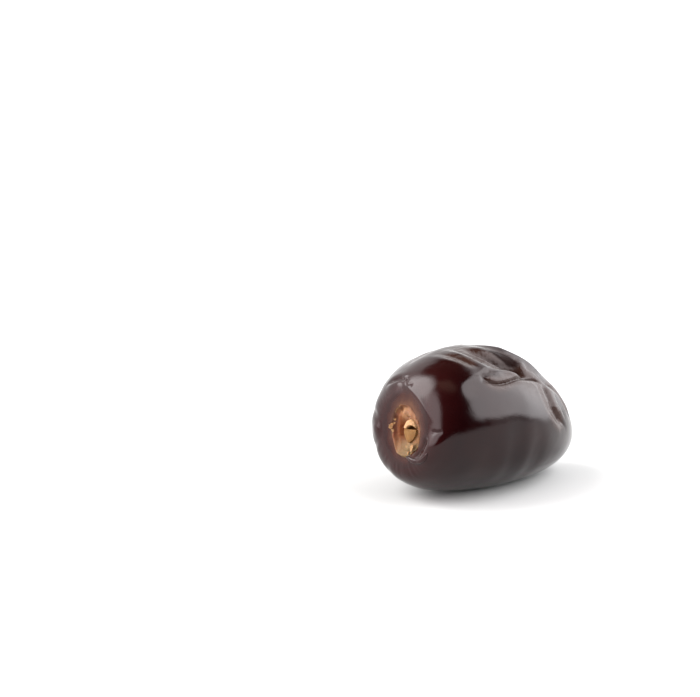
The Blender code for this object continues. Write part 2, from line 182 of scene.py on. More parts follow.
MAIN_FOLDS = (
    # The long crease under the sunken top, and the branches it splits into at the tip.
    Fold(
        (
            (16.4, 41), (17.1, 46.5), (18.7, 50.5), (20.9, 49.8), (23.2, 47),
            (25.4, 44.5), (27.6, 42.2), (29.6, 42.5), (31.6, 45),
        ),
        0.66, 0.29, lip_over=0.16, lip_under=0.06, lip_width=1.2,
    ),
    Fold(((28.6, 44), (28.8, 54), (29, 62), (30, 72), (32, 81), (34.5, 87)), 0.26, 0.5, 0.0, 0.04, 0.8, 0.25),
    Fold(
        ((31.2, 43), (30.9, 50), (30.9, 59), (31.3, 69), (32.8, 77), (35.8, 86)),
        0.62, 0.5, lip_over=0.2, lip_under=0.0, lip_width=1.2, ends=0.25,
    ),
    Fold(
        ((30, 43), (32.6, 41), (35.2, 42.5), (36.6, 52), (37.5, 61), (38.5, 70)),
        0.4, 0.4, 0.14, 0.1, 1.0, 0.3,
    ),
    # The wrinkled top: its raised edge, then grooves and ridges, and the deep pocket under its rim.
    Fold(((12.4, -16), (13, -3), (13.7, 9), (14.6, 21), (15.5, 32), (16.2, 40)), -0.2, 1.2, ends=0.35),
    Fold(((14.0, -6), (14.8, 7), (15.5, 18), (16.4, 28), (17.4, 36)), 0.2, 0.6, 0.0, 0.0, 1.0, 0.35),
    Fold(((15.8, -8), (16.2, 4), (16.8, 16), (17.6, 27), (18.4, 35), (18.6, 42)), -0.34, 1.2, ends=0.3),
    Fold(((18.0, 10), (18.8, 18), (20.2, 27), (22.2, 34.5), (24.6, 39)), 0.3, 0.5, 0.14, 0.0, 1.0, 0.35),
    Fold(
        ((18.4, 3), (20.4, 11.5), (21.8, 19), (23.2, 26), (25.1, 32), (27.2, 36), (28.6, 38)),
        0.5, 0.8, lip_over=0.6, lip_under=0.0, lip_width=1.3, ends=0.2,
    ),
    Fold(((18.8, 42.5), (19.8, 40), (21.6, 40), (24, 42), (26.2, 42)), -0.3, 0.8, ends=0.35),
    Fold(
        (
            (21.0, -5), (23.7, 1), (25.4, 7), (26.6, 12),
            (28.0, 17), (29.9, 23), (32.0, 28), (34.0, 33),
        ),
        -0.8, 1.0, ends=0.35,
    ),
    # Folds of the back, drawn together towards the tip.
    Fold(
        ((10, -25), (13.5, -20), (17.5, -19), (22, -14), (26.5, -11), (31, -15), (35, -21)),
        0.6, 0.8, lip_over=0.2, lip_under=0.16, lip_width=1.7, ends=0.4,
    ),
    Fold(((21.5, -15), (25, -21), (28.5, -23), (32, -22)), 0.3, 0.55, 0.1, 0.06, 1.1, 0.45),
    Fold(
        ((12, -54), (16, -49), (20.5, -50), (25, -44), (30, -46), (34.5, -53)),
        0.55, 0.8, 0.18, 0.14, 1.7, 0.42,
    ),
    Fold(((17, -78), (21, -80), (25, -75), (29, -72), (34, -78)), 0.45, 0.8, 0.14, 0.12, 1.6, 0.45),
    Fold(((12, -98), (15.5, -102), (20, -98), (24.5, -104), (29, -112)), 0.45, 0.8, 0.15, 0.15, 1.7, 0.45),
    Fold(((26, -38), (29, -32), (32.5, -33), (36, -29), (38.5, -32)), 0.4, 0.6, 0.12, 0.1, 1.3, 0.4),
    Fold(((21, -128), (25, -133), (29.5, -127), (33.5, -131), (37, -126)), 0.4, 0.75, 0.14, 0.14, 1.6, 0.45),
    Fold(((33, -95), (36, -100), (38.5, -96)), 0.25, 0.5, 0.08, 0.06, 1.0, 0.45),
    # The shoulder of the stem end and the lip of skin beside the scar.
    Fold(((7.9, -16), (6.9, 0), (6.4, 18), (6.2, 36), (6.3, 54), (6.5, 72)), -0.26, 0.6, ends=0.3),
    Fold(((8.4, -48), (8.3, -34), (8.2, -20), (7.6, -8)), 0.3, 0.4, 0.1, 0.1, 0.7, 0.35),
    Fold(((6.3, 80), (7.2, 82), (8.3, 82)), 0.16, 0.28, 0.0, 0.0, 1.0, 0.3),
    Fold(((5.5, 86), (5.4, 100), (5.2, 114), (5.0, 128), (4.9, 140)), 0.4, 0.4, ends=0.25),
    Fold(((5.6, -118), (8, -122), (11, -124)), 0.14, 0.9, 0.04, 0.04, 1.4, 0.45),
    Fold(((5.6, -152), (8, -156), (11, -158)), 0.12, 0.9, 0.04, 0.04, 1.4, 0.45),
    Fold(((5.4, -78), (7.6, -80), (10, -84)), 0.2, 0.7, 0.06, 0.06, 1.2, 0.45),
)

# Where painted shade darkens the deep pocket most, and the depth of relief from which painted shade darkens
# the skin a little and takes away some of its reflection.
POCKET_SHADE = Hollow(24.9, 18.0, 3.6, 1.1, -38, 1.0)
PAINTED_SHADE_FROM, PAINTED_SHADE_TO, PAINTED_SHADE_SHARE = 0.9, 1.5, 0.4

HOLLOWS = (
    # The sunken top and the flat places of the back.
    Hollow(23.5, 29, 9.5, 4.8, -28, 0.75),
    Hollow(24.2, 28.5, 3.6, 1.7, -32, 1.2),
    Hollow(25.8, 31, 1.7, 1.5, -32, 0.7),
    Hollow(23.5, 8, 7.0, 4.0, -20, 0.25),
    Hollow(14.2, 50, 1.6, 1.1, 30, 0.12),
    Hollow(19, -32, 6.5, 2.6, 8, 0.45),
    Hollow(27.5, -58, 4.6, 2.2, -12, 0.4),
    Hollow(14.5, -76, 5.0, 2.6, 4, 0.35),
    Hollow(25, -92, 5.2, 2.4, 10, 0.4),
    Hollow(33, -8, 3.4, 2.2, 0, 0.35),
    Hollow(20, -118, 5.6, 2.6, -6, 0.35),
    Hollow(32, -108, 3.4, 2.0, 0, 0.3),
    # The swollen lip of skin beside the scar, and a small one across from it.
    Hollow(7.0, 108, 1.5, 3.0, -10, -0.55),
    Hollow(5.9, -101, 1.2, 1.0, 0, -0.22),
    # The full lower flank towards the tip, with soft waves.
    Hollow(28.5, 110, 9.0, 5.5, -4, -0.55),
    Hollow(22.0, 108, 2.0, 5.2, 10, 0.2),
    Hollow(26.5, 112, 1.8, 4.6, 6, 0.18),
    Hollow(17.0, 118, 2.6, 4.0, 12, 0.14),
)

LEATHERY_REACH = 1.5

FINE_FOLDS = (
    # Thin wrinkles that only the dressed skin has.
    Fold(((16.2, 38.5), (16.6, 42.5), (16.3, 46), (16.9, 49)), 0.16, 0.2, ends=0.3),
    Fold(((20, 42.6), (21.8, 43.4), (24, 43.2)), 0.08, 0.24, ends=0.35),
    Fold(((13.4, 2), (14.4, 13), (15.4, 23), (16.4, 32)), 0.1, 0.3, ends=0.35),
    Fold(((17, -2), (17.8, 10), (18.8, 20)), 0.12, 0.3, ends=0.35),
    Fold(((18.4, 22), (19.8, 30), (20.8, 35)), 0.12, 0.3, ends=0.35),
    Fold(((24.4, 36), (27.2, 38.6), (30, 39.4)), 0.1, 0.3, ends=0.35),
    Fold(((29.9, 50), (29.9, 59), (30.5, 68), (32, 77)), 0.1, 0.24, ends=0.35),
    Fold(((33.2, 48), (33.6, 58), (34.4, 68), (35.6, 77)), 0.1, 0.3, ends=0.35),
    Fold(((8.0, -40), (8.3, -26), (8.0, -12)), 0.14, 0.2, ends=0.35),
    Fold(((8.8, -22), (7.9, -15), (8.2, -9), (7.3, -3), (7.5, 3), (6.8, 8)), 0.16, 0.18, ends=0.25),
)


@dataclass(frozen=True)
class Frame:
    """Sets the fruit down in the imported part's frame: pitch about Y, then a shift, then metres."""

    pitch: float
    shift: tuple[float, float, float]

    @staticmethod
    def tilt(points: Array, pitch: float) -> Array:
        """Turns points about Y, so that the tip comes down by the pitch."""
        turn = math.radians(pitch)
        x = points[:, 0] * math.cos(turn) + points[:, 2] * math.sin(turn)
        z = points[:, 2] * math.cos(turn) - points[:, 0] * math.sin(turn)
        return np.stack([x, points[:, 1], z], -1)

    def settle(self, points: Array) -> Array:
        """Points of the level fruit in millimetres, as points of the part in metres.

        Args:
            points: array (n, 3) in mm, long axis along X.

        Returns:
            Array (n, 3) in metres, none below the ground.
        """
        placed = self.tilt(points, self.pitch) - np.array(self.shift)
        placed[:, 2] = np.maximum(placed[:, 2], 0)
        return placed * MILLIMETRE


@dataclass
class Surface:
    """A closed or open grid of points with the numbers that its finish reads.

    Attributes:
        name: name of the piece.
        points: array (n, 3) in metres.
        faces: vertex indices of each face.
        marks: named numbers, one for each point, that the finish reads as attributes.
    """

    name: str
    points: Array
    faces: list[list[int]]
    marks: dict[str, Array] = field(default_factory=dict)

    def piece(self, material: bpy.types.Material, slot: Slot, replaced: Node | None) -> bpy.types.Object:
        """Makes the mesh object, dresses it and lets it ride on the part.

        Args:
            material: the finish.
            slot: the record's slot that the finish belongs to; not used.
            replaced: the solid that the piece stands for, if any.

        Returns:
            The new object.
        """
        mesh = bpy.data.meshes.new(self.name)
        mesh.from_pydata(self.points.tolist(), [], self.faces)
        mesh.shade_smooth()
        for mark, numbers in self.marks.items():
            layer = mesh.attributes.new(mark, "FLOAT", "POINT")
            layer.data.foreach_set("value", numbers.astype(np.float32))
        mesh.materials.append(material)
        made = bpy.data.objects.new(self.name, mesh)
        bpy.context.scene.collection.objects.link(made)
        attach(made, "root")
        if replaced is not None:
            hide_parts(replaced.value)
        LOG.info("%s: %d points, %d faces", self.name, len(self.points), len(self.faces))
        return made


def ball_faces(rows: int, columns: int) -> list[list[int]]:
    """Faces of a grid that closes round, with a fan of triangles to a pole at each end.

    Args:
        rows: rows between the poles.
        columns: points in a row.

    Returns:
        Faces over points in the order: first pole, rows, last pole.
    """
    column = np.arange(columns)
    beside = (column + 1) % columns
    start = 1 + np.arange(rows - 1)[:, None] * columns
    quads = np.stack(
        [start + column, start + beside, start + columns + beside, start + columns + column], -1
    ).reshape(-1, 4)
    last = 1 + (rows - 1) * columns
    near = np.stack([np.zeros(columns, int), 1 + beside, 1 + column], -1)
    far = np.stack([last + column, last + beside, np.full(columns, 1 + rows * columns)], -1)
    return near.tolist() + quads.tolist() + far.tolist()


@dataclass(frozen=True)
class Fruit:
    """The whole fruit: a blunt, dished stem end, a tapering tip, and the folds of its skin.

    Attributes:
        length: from the stem end to the tip, without the dish.
        girth: width across.
        height_to_width: how much flatter it is than wide.
        stem_half: length of the stem half, from the end to the widest place.
        stem_blunt: exponent of the stem half's outline; 2 is an ellipse, more is boxier.
        tip_taper: exponent of the tip half's outline.
        stem_drop, tip_drop: how far the ends bend down.
        stem_side, tip_side: how far the ends bend towards -Y.
        dish_radius, dish_depth, dish_flatness: the dish in the stem end.
        nub_radius, nub_height: the dry point at the tip.
        pitch: how far the tip comes down as the fruit lies.
        seat_radius, seat_narrow, seat_lean: the oval seat of the calyx remnant, half its height, how
            much narrower it is, and how far it leans for each millimetre up.
        seat_depth, seat_side: how deep the seat is, and its middle towards -Y.
        scar_wide, scar_tall, scar_side, scar_up: half sizes and middle of the torn edge of the skin.
        wave_height, crinkle_height, fine_height: height of the slow waves, and of the coarse
            and fine crinkles of sunken skin.
        rows, columns: the grid of the dressed skin.
        fold_side, fold_crowding: where the columns are closer together, and by how much.
    """

    length: float = 36.3
    girth: float = 23.6
    height_to_width: float = 0.962
    stem_half: float = 16.1
    stem_blunt: float = 2.68
    tip_taper: float = 1.68
    stem_drop: float = 1.9
    tip_drop: float = 3.7
    stem_side: float = 0.45
    tip_side: float = 1.4
    dish_radius: float = 6.0
    dish_depth: float = 1.9
    dish_flatness: float = 2.8
    nub_radius: float = 0.9
    nub_height: float = 0.45
    pitch: float = 7.6
    seat_radius: float = 3.75
    seat_depth: float = 0.55
    seat_side: float = 0.68
    seat_narrow: float = 1.13
    seat_lean: float = 0.16
    scar_wide: float = 3.05
    scar_tall: float = 3.9
    scar_side: float = 0.62
    scar_up: float = 0.45
    wave_height: float = 0.030
    crinkle_height: float = 0.036
    fine_height: float = 0.014
    rows: int = 252
    columns: int = 380
    fold_side: float = 52.0
    fold_crowding: float = 0.3

    def meridian(self) -> tuple[Array, Array, Array]:
        """Outline from stem end to tip.

        Each half is a superellipse, |x / half|^n + (2 r / girth)^n = 1. The dish is a soft
        round hollow in the stem end and the nub a small hill on the tip.

        Returns:
            Arrays x, radius and arc, close together.
        """
        turn = np.linspace(0, math.pi, 4001)
        stem = turn < math.pi / 2
        power = np.where(stem, 2 / self.stem_blunt, 2 / self.tip_taper)
        half = np.where(stem, self.stem_half, self.length - self.stem_half)
        x = -np.sign(np.cos(turn)) * half * np.abs(np.cos(turn)) ** power
        radius = 0.5 * self.girth * np.sin(turn) ** power
        x = x + stem * self.dish_depth * np.exp(-((radius / self.dish_radius) ** self.dish_flatness))
        x = x + ~stem * self.nub_height * hill(radius / self.nub_radius)
        arc = np.concatenate([[0], np.cumsum(np.hypot(np.diff(x), np.diff(radius)))])
        return x, radius, arc

    @property
    def last_arc(self) -> float:
        """Arc of the tip."""
        return float(self.meridian()[2][-1])

    def plain(self, arc: Array, angle: Array) -> Array:
        """The swelling shape without folds: circles round the outline, ends bent by x squared.

        Args:
            arc: way along the skin.
            angle: radians round the long axis.

        Returns:
            Array (n, 3) in mm, long axis level.
        """
        x_line, radius_line, arc_line = self.meridian()
        x = np.interp(arc, arc_line, x_line)
        radius = np.interp(arc, arc_line, radius_line)
        to_stem = np.clip(-x / self.stem_half, 0, None) ** 2
        to_tip = np.clip(x / (self.length - self.stem_half), 0, None) ** 2
        y = -radius * np.sin(angle) - self.stem_side * to_stem - self.tip_side * to_tip
        z = radius * np.cos(angle) * self.height_to_width - self.stem_drop * to_stem - self.tip_drop * to_tip
        return np.stack([x, y, z], -1)

    def outward(self, arc: Array, angle: Array) -> Array:
        """Unit normals of the plain shape, as the cross product of its two tangents."""
        step, last = 0.02, self.last_arc
        along = self.plain(np.minimum(arc + step, last), angle) - self.plain(np.maximum(arc - step, 0), angle)
        around = self.plain(arc, angle + step) - self.plain(arc, angle - step)
        normal = np.cross(around, along)
        normal = normal / np.maximum(np.linalg.norm(normal, axis=-1, keepdims=True), 1e-9)
        ends = (arc < 0.05) | (arc > last - 0.05)
        normal[ends] = np.stack([np.sign(arc[ends] - 1), 0 * arc[ends], 0 * arc[ends]], -1)
        return normal

    @staticmethod
    def smooth_path(points: tuple[tuple[float, float], ...], count: int) -> Array:
        """Catmull-Rom curve through (arc, angle) points.

        Args:
            points: places that the curve passes through.
            count: number of points to return, evenly spread over the given ones.

        Returns:
            Array (count, 2).
        """
        p = np.array(points, float)
        p = np.vstack([2 * p[0] - p[1], p, 2 * p[-1] - p[-2]])
        t = np.linspace(0, len(points) - 1.000001, count)
        i = t.astype(int)
        f = (t - i)[:, None]
        a, b, c, d = p[i], p[i + 1], p[i + 2], p[i + 3]
        square, cube = 2 * a - 5 * b + 4 * c - d, 3 * b - a - 3 * c + d
        return 0.5 * (2 * b + (c - a) * f + square * f**2 + cube * f**3)

    def fold_relief(self, fold: Fold, points: Array, count: int = 96) -> Array:
        """How far one fold moves the skin out, and how near it is.

        With d the signed distance from the path: -depth exp(-|d / width|^1.4) for the valley,
        plus a rounded lip at lip_width on either side, all faded towards the path's ends.

        Args:
            fold: the crease or ridge.
            points: plain points of the skin.
            count: samples of the path.

        Returns:
            Array (2, n): height in mm, and nearness to a crease from 0 to 1, a hill of d.
        """
        path = self.smooth_path(fold.path, count)
        arc, angle = path[:, 0], np.radians(path[:, 1])
        line = self.plain(arc, angle)
        side = np.cross(self.outward(arc, angle), np.gradient(line, axis=0))
        side /= np.linalg.norm(side, axis=1, keepdims=True)
        reach = 4 * max(fold.width, fold.lip_width)
        middle = line.mean(axis=0)
        radius = np.linalg.norm(line - middle, axis=1).max() + reach
        near = np.flatnonzero(np.linalg.norm(points - middle, axis=1) < radius)
        apart = np.linalg.norm(points[near, None] - line[None], axis=2)
        nearest = apart.argmin(axis=1)
        away = points[near] - line[nearest]
        distance = apart[np.arange(len(near)), nearest]
        signed = np.sign((away * side[nearest]).sum(axis=1)) * distance
        t = nearest / (count - 1)
        fade = ease(np.minimum(t, 1 - t), 0.0, fold.ends)
        valley = -fold.depth * np.exp(-((np.abs(signed) / fold.width) ** 1.4))
        over = fold.lip_over * hill((signed - fold.lip_width) / fold.lip_width)
        under = fold.lip_under * hill((signed + fold.lip_width) / fold.lip_width)
        relief = np.zeros((2, len(points)))
        relief[0, near] = fade * (valley + over + under)
        relief[1, near] = (fold.depth > 0) * fade * hill(distance / LEATHERY_REACH)
        return relief

    def hollow_height(self, hollow: Hollow, points: Array) -> Array:
        """How far one oval moves the skin out: -depth exp(-(p^2 + q^2)^1.3) in its own axes.

        Args:
            hollow: the dent or swelling.
            points: plain points of the skin.

        Returns:
            Array (n,) in mm.
        """
        arc, angle = np.array([hollow.arc]), np.array([math.radians(hollow.angle)])
        centre, normal = self.plain(arc, angle)[0], self.outward(arc, angle)[0]
        along = np.array([1.0, 0.0, 0.0])
        along -= normal * (along @ normal)
        along /= np.linalg.norm(along)
        across = np.cross(normal, along)
        away = points - centre
        turn = math.radians(hollow.turn)
        p = away @ (along * math.cos(turn) + across * math.sin(turn)) / hollow.length
        q = away @ (across * math.cos(turn) - along * math.sin(turn)) / hollow.width
        through = (away @ normal) / self.girth
        return -hollow.depth * np.exp(-((p**2 + q**2) ** 1.3)) * (through > -0.5)

    def seat(self, side: Array, up: Array) -> Array:
        """Depth of the shallow seat that the calyx remnant sits in."""
        across = side - self.seat_side + self.seat_lean * up
        away = np.hypot(across * self.seat_narrow, up)
        return self.seat_depth * np.clip((self.seat_radius - away) / 0.7, 0, 1)

    def stem_pole(self) -> Array:
        """Middle of the dish, fruit level."""
        return self.plain(np.array([0.0]), np.array([0.0]))[0]

    def dish_floor(self, side: Array, up: Array) -> Array:
        """Height of the skin in the dish over the dish's middle, seat included.

        Args:
            side: places towards -Y from the pole.
            up: places upwards from the pole.

        Returns:
            Height outwards along -X, in mm.
        """
        away = np.hypot(side, up / self.height_to_width)
        flat = (1 - (2 * away / self.girth) ** self.stem_blunt) ** (1 / self.stem_blunt)
        dish = self.dish_depth * np.exp(-((away / self.dish_radius) ** self.dish_flatness))
        return self.stem_half * flat - dish - (self.stem_half - self.dish_depth) - self.seat(side, up)

    def fine_relief(self, points: Array, arc: Array, sunken: Array) -> Array:
        """Low relief that only the dressed skin has.

        Slow waves all over, lengthwise crinkles where the skin has sunk, and radial
        puckers on the shoulder of the stem end.

        Args:
            points: plain points of the skin.
            arc: arc of each point.
            sunken: 0 on taut skin, 1 where it has sunk into folds.

        Returns:
            Array (n,) in mm.
        """
        waves = self.wave_height * LatticeNoise(3).layered(points, 5.0)
        waves = waves + 0.004 * LatticeNoise(5).at(points, 0.9)
        bent = points + 0.5 * np.stack([LatticeNoise(s).at(points, 2.4) for s in (11, 12, 13)], -1)
        crinkles = 1 - 2 * np.abs(LatticeNoise(17).at(bent, (3.2, 0.62, 0.62)))
        fine = 1 - 2 * np.abs(LatticeNoise(19).at(bent, (1.6, 0.34, 0.34)))
        shoulder = hill((arc - 6.6) / 1.6)
        turn = np.arctan2(-points[:, 1] - self.stem_side, points[:, 2] + self.stem_drop)
        spokes = np.stack([6 * np.cos(turn), 6 * np.sin(turn), 0.35 * arc], -1)
        puckers = LatticeNoise(23).at(spokes, 0.5)
        behind = ease(np.cos(turn - math.radians(40)), 0.5, -0.3)
        dry = sunken * (self.crinkle_height * crinkles + self.fine_height * fine)
        return waves + dry + (0.002 + 0.03 * behind) * shoulder * puckers

    def skin(self, arc: Array, angle: Array) -> tuple[Array, dict[str, Array]]:
        """The finished skin, fruit level.

        Args:
            arc: way along the skin.
            angle: radians round the long axis.

        Returns:
            Points (n, 3) in mm, and the marks that the finish reads: sunken (0 to 1), leathery
            (0 to 1 round the folds), scar (mm from the oval edge of the scar) and the painted shade
            mark (0 to 1 in the deep pocket and the deepest creases, where painted shade darkens the skin).
        """
        points = self.plain(arc, angle)
        folds, nearness = sum(self.fold_relief(fold, points) for fold in MAIN_FOLDS)
        dents = sum(self.hollow_height(hollow, points) for hollow in HOLLOWS)
        thin = sum(self.fold_relief(fold, points)[0] for fold in FINE_FOLDS)
        sunken = np.clip(-(folds + dents) / 0.6, 0, 1)
        clear = np.clip((arc - 4.6) / 0.8, 0, 1)
        height = clear * (folds + dents + thin + self.fine_relief(points, arc, sunken))
        moved = points + self.outward(arc, angle) * height[:, None]
        pole = self.stem_pole()
        side, up = pole[1] - points[:, 1], points[:, 2] - pole[2]
        stem = points[:, 0] < 0
        moved[:, 0] += stem * self.seat(side, up)
        oval = np.hypot((side - self.scar_side) / self.scar_wide, (up - self.scar_up) / self.scar_tall)
        scar = np.where(stem, (oval - 1) * self.scar_wide, 30.0)
        leathery = ease(nearness, 0.1, 0.9) * ease(arc, 8.5, 11.0)
        # Painted shade: this mark darkens the deep pocket and the deepest creases, and takes away most of
        # their reflection.
        shaded = -self.hollow_height(POCKET_SHADE, points)
        deep = PAINTED_SHADE_SHARE * ease(-(folds + dents), PAINTED_SHADE_FROM, PAINTED_SHADE_TO)
        painted_shade = np.maximum(deep, ease(shaded, 0.3, 0.7))
        marks = {"sunken": sunken, "leathery": leathery, "scar": scar, "painted_shade": painted_shade}
        return moved, marks

    def grid(self) -> tuple[Array, Array]:
        """Arc and angle of every point: first pole, rows, last pole, crowded where the folds are."""
        even = np.linspace(0, 1, self.rows + 2)[1:-1]
        arcs = self.last_arc * (even - 0.30 * np.sin(2 * math.pi * even) / (2 * math.pi))
        turn = np.linspace(0, 2 * math.pi, self.columns, endpoint=False)
        angles = math.radians(self.fold_side) + turn - self.fold_crowding * np.sin(turn)
        arc = np.concatenate([[0.0], np.repeat(arcs, self.columns), [self.last_arc]])
        angle = np.concatenate([[0.0], np.tile(angles, self.rows), [0.0]])
        return arc, angle

    def build(self) -> tuple[Surface, Frame]:
        """The dressed skin in place, and the frame that the other pieces are settled by.

        Returns:
            The surface in metres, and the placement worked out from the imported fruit's box.
        """
        points, marks = self.skin(*self.grid())
        level = Frame.tilt(points, self.pitch)
        low, high = (np.array(corner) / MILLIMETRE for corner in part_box(Node.FRUIT.value))
        centre = (level.min(axis=0) + level.max(axis=0)) / 2 - (low + high) / 2
        top = level[:, 2].max() - high[2]
        placement = Frame(self.pitch, (centre[0], centre[1], top))
        surface = Surface("date_skin", placement.settle(points), ball_faces(self.rows, self.columns), marks)
        return surface, placement


@dataclass(frozen=True)
class Mound:
    """An oval rise on the worn ring, or a pit where the height is negative; places as (side, up)."""

    side: float
    up: float
    wide: float
    tall: float
    height: float

    def at(self, side: Array, up: Array) -> Array:
        """Height at the places: height exp(-(p^2 + q^2)^1.5) in its own half sizes."""
        p, q = (side - self.side) / self.wide, (up - self.up) / self.tall
        return self.height * np.exp(-((p**2 + q**2) ** 1.5))


MOUNDS = (
    Mound(0.0, 2.75, 0.45, 0.4, 0.22),
    Mound(0.75, 2.15, 0.26, 0.2, -0.28),
    Mound(1.35, 2.5, 0.35, 0.3, 0.12),
    Mound(0.1, -3.0, 1.25, 1.0, 0.26),
    Mound(-1.2, 2.2, 0.9, 0.8, 0.08),
    Mound(2.6, -1.2, 0.5, 0.7, 0.12),
    Mound(2.0, -2.3, 0.8, 0.7, 0.3),
)


@dataclass(frozen=True)
class Remnant:
    """The dry calyx remnant in the dish: a worn ring, the fibrous plug of the stalk, and loose flakes.

    Attributes:
        fruit: the fruit that it sits in.
        placement: how the fruit is set down.
        ring_wide, ring_tall, ring_side, ring_up, ring_thick: half sizes, middle and thickness of the ring.
        ring_lean: how far the ring leans to the far side for each millimetre up.
        plug_wide, plug_tall, plug_side, plug_up, plug_height: the same of the plug.
        slot_side, slot_up, slot_tall, slot_depth, hood_height: the slot in the plug, and the hood over it.
        ring_rows, ring_columns, plug_rows, plug_columns: their grids.
    """

    fruit: Fruit
    placement: Frame
    ring_wide: float = 3.1
    ring_tall: float = 4.0
    ring_side: float = 0.65
    ring_up: float = -0.12
    ring_lean: float = 0.16
    ring_thick: float = 0.4
    plug_wide: float = 1.38
    plug_tall: float = 1.75
    plug_side: float = 1.8
    plug_up: float = 0.14
    plug_height: float = 1.0
    slot_side: float = 0.42
    slot_up: float = 0.3
    slot_tall: float = 0.56
    slot_depth: float = 0.8
    hood_height: float = 0.28
    ring_rows: int = 60
    ring_columns: int = 320
    plug_rows: int = 70
    plug_columns: int = 240

    def settle(self, side: Array, up: Array, height: Array) -> Array:
        """Places in the stem end as points of the part, in metres."""
        level = np.stack([-height, -side, up], -1) + self.fruit.stem_pole()
        return self.placement.settle(level)

    def edge(self, angle: Array) -> Array:
        """Share by which the ragged edge leaves the oval: a lobe, a notch, and fine nicks."""
        around = np.stack([2.2 * np.cos(angle), 2.2 * np.sin(angle), 0 * angle], -1)
        lobe = 0.04 * np.exp(3.0 * (np.cos(angle + math.radians(132)) - 1))
        notch = 0.16 * np.exp(7.0 * (np.cos(angle - math.radians(150)) - 1))
        nicks = 0.035 * LatticeNoise(31).at(around, 0.4) + 0.018 * LatticeNoise(32).at(around, 0.14)
        return 1 + lobe - notch + nicks

    def ring_height(self, angle: Array, reach: Array, side: Array, up: Array) -> Array:
        """Height of the ring over the dish floor.

        A worn plateau that thins to the edge, with a trench beside the plug, widest on the
        far side, a raised rim at the lower edge, mounds, rumples and radial fibres.

        Args:
            angle: radians round the plug, 0 up and a right angle towards -Y.
            reach: 0 at the plug's foot, 1 at the ragged edge.
            side: places towards -Y.
            up: places upwards.

        Returns:
            Array in mm.
        """
        place = np.stack([side, up, 0 * side], -1)
        fibres = np.stack([9 * np.cos(angle), 9 * np.sin(angle), 1.3 * reach], -1)
        rumple = 0.10 * LatticeNoise(41).layered(place, 1.2, 4)
        grain = 0.02 * LatticeNoise(43).at(fibres, 0.45) + 0.012 * LatticeNoise(44).at(fibres, 0.2)
        far_side = np.clip(-np.sin(angle), 0, 1)
        trench = self.ring_thick * (0.3 + 0.7 * far_side) * hill(reach / (0.16 + 0.62 * far_side**2))
        rim = 0.22 * hill((reach - 0.92) / 0.06) * ease(np.cos(angle + math.radians(135)), 0.55, 0.85)
        plateau = self.ring_thick * (1 - ease(reach, 0.5, 1.0))
        plateau = plateau + rumple * ease(reach, 0.05, 0.3) * ease(reach, 1.0, 0.85)
        mounds = sum(mound.at(side, up) for mound in MOUNDS) * ease(reach, 1.0, 0.9)
        return np.maximum(plateau - trench + rim + mounds + grain * ease(reach, 1.0, 0.9), 0.02)

    def ring(self) -> Surface:
        """The ring as a closed plate: its worn top, and an underside just inside the flesh."""
        angle = np.linspace(0, 2 * math.pi, self.ring_columns, endpoint=False)
        top = np.linspace(0, 1, self.ring_rows)
        under = np.linspace(1, 0, 6)[1:]
        reach = np.concatenate([top, under])
        over = np.repeat(np.arange(len(reach)) < len(top), self.ring_columns)
        reach, turn = np.repeat(reach, self.ring_columns), np.tile(angle, len(reach))
        foot_side = self.plug_side + 0.8 * self.plug_wide * np.sin(turn)
        foot_up = self.plug_up + 0.8 * self.plug_tall * np.cos(turn)
        edge_up = self.ring_up + self.ring_tall * self.edge(turn) * np.cos(turn)
        edge_side = self.ring_side + self.ring_wide * self.edge(turn) * np.sin(turn)
        edge_side = edge_side - self.ring_lean * edge_up
        side = foot_side + (edge_side - foot_side) * reach
        up = foot_up + (edge_up - foot_up) * reach
        relief = np.where(over, self.ring_height(turn, reach, side, up), -0.12)
        height = self.fruit.dish_floor(side, up) + relief
        loop = np.arange(self.ring_columns)
        beside = (loop + 1) % self.ring_columns
        total = len(top) + len(under)
        start = np.arange(total)[:, None] * self.ring_columns
        after = (start + self.ring_columns) % (total * self.ring_columns)
        faces = np.stack([start + loop, start + beside, after + beside, after + loop], -1).reshape(-1, 4)
        far_side = np.clip(-np.sin(turn), 0, 1) ** 2
        marks = {
            "reach": np.where(over, reach, 1.0),
            "relief": np.where(over, relief, 0.0),
            "near": ease(side, -0.6, 1.2) * ease(up, -1.0, 0.4),
            # The gap mark lays painted shade between the plug and the ring, mostly on the far side.
            "painted_gap_shade": far_side * ease(reach, 0.9, 0.55) * ease(up, 2.8, 1.4),
            "blush": far_side * hill((reach - 1.0) / 0.3),
            "lower": ease(up, -1.0, -2.2),
        }
        return Surface("calyx_ring", self.settle(side, up, height), faces[:, ::-1].tolist(), marks)

